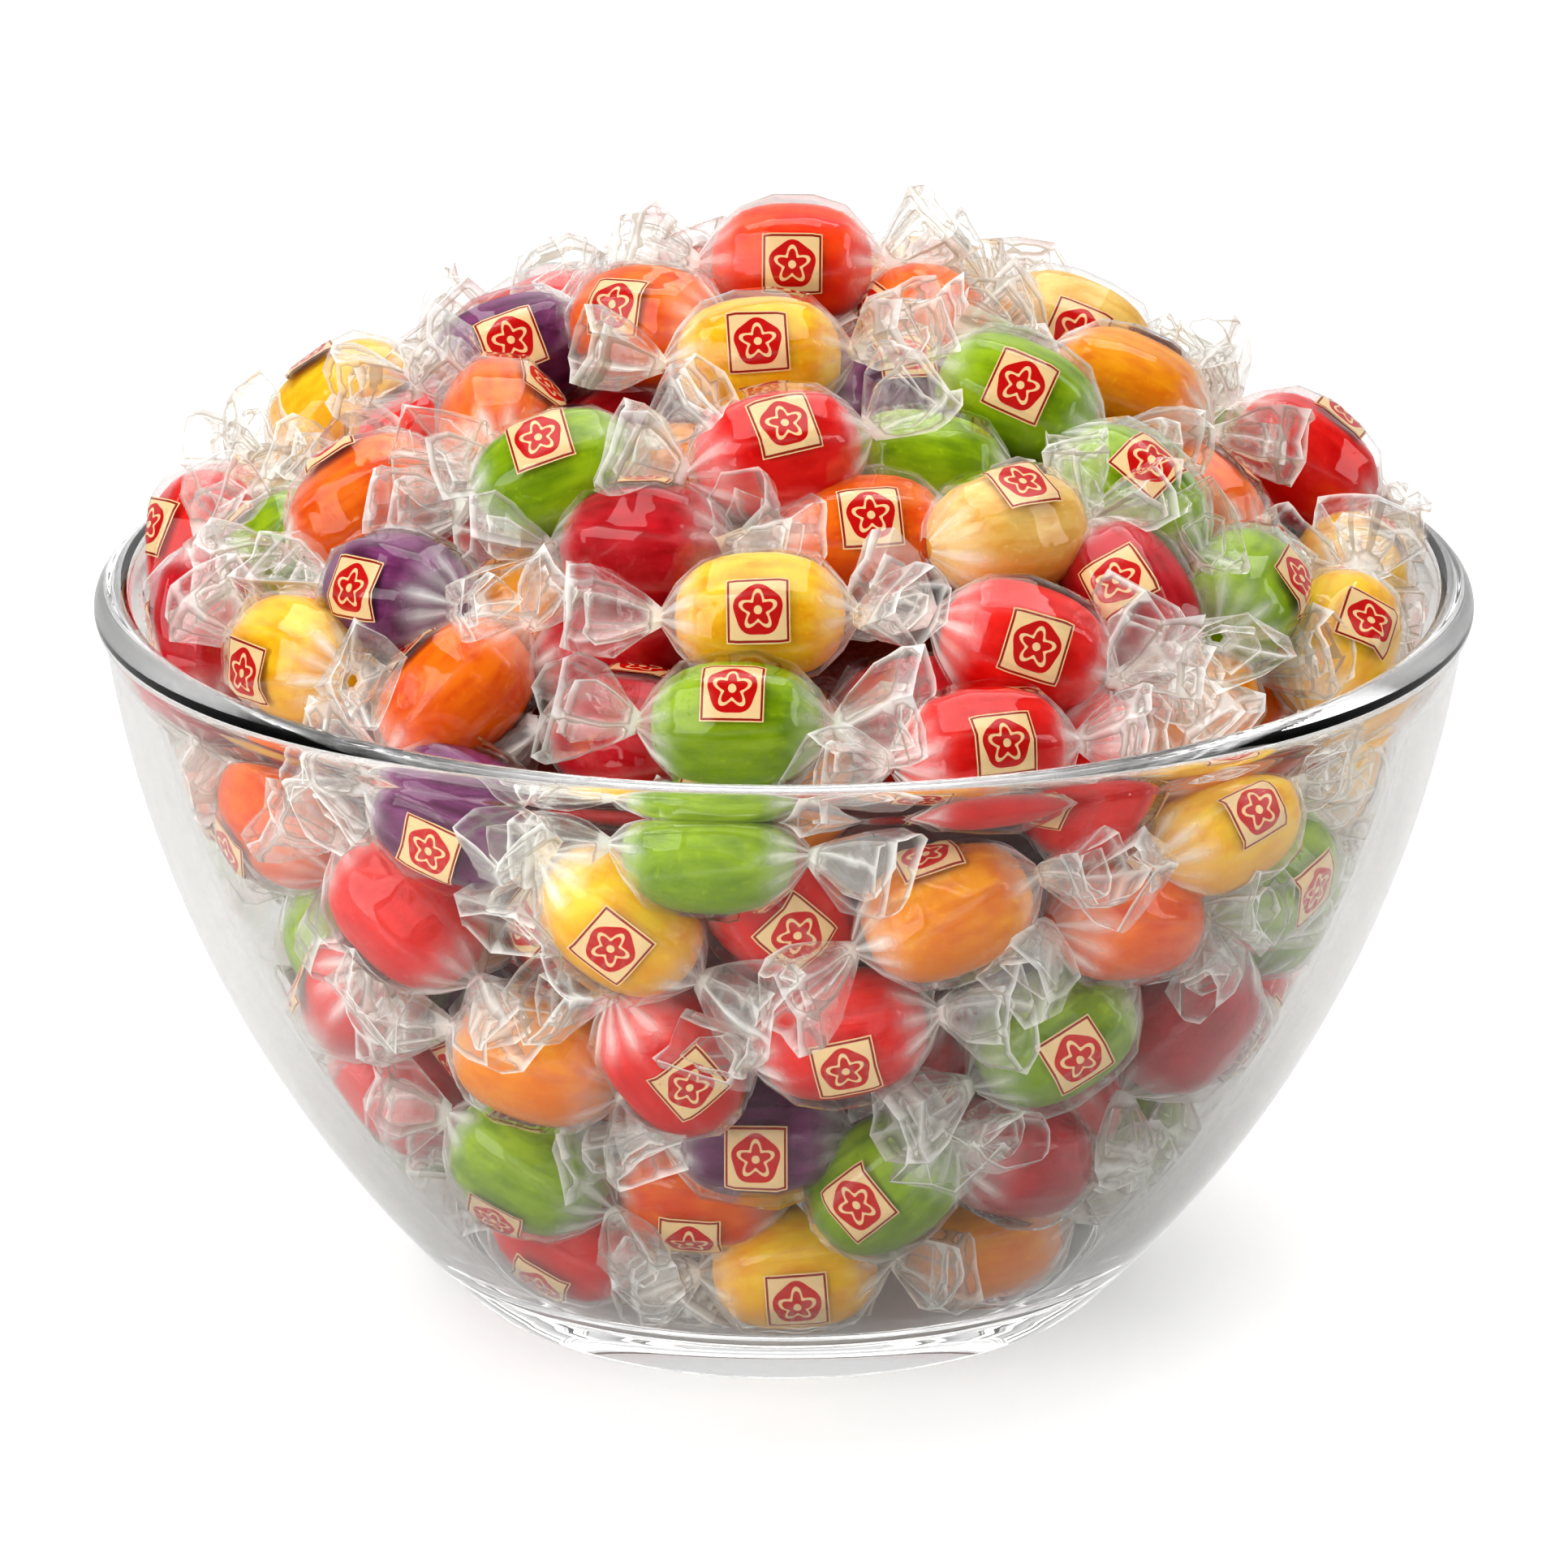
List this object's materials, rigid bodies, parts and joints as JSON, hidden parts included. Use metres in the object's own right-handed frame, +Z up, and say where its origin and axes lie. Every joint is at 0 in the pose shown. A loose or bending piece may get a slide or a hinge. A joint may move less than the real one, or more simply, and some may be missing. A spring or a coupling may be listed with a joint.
{
  "type": "bowl of hard candy",
  "caption": "Clear glass bowl with a rounded rim and thick base, heaped above the rim with fruit hard candies in twisted film wrappers.",
  "frame": {"origin": "on the table, under the middle of the bowl's base", "axes": "+Z up along the bowl's axis; -Y is the side that faces the viewer in the picture"},
  "size_m": [0.1706, 0.1706, 0.1384],
  "materials": {
    "bowl_glass": "clear smooth pressed glass",
    "hard_candy": "glossy boiled sugar in lemon, orange, red, green and purple",
    "wrapper_film": "crumpled clear film with a small printed square"
  },
  "bodies": {
    "root": {"glass_bowl": "bowl_glass", "candy_heap": "hard_candy"}
  },
  "joints": []
}
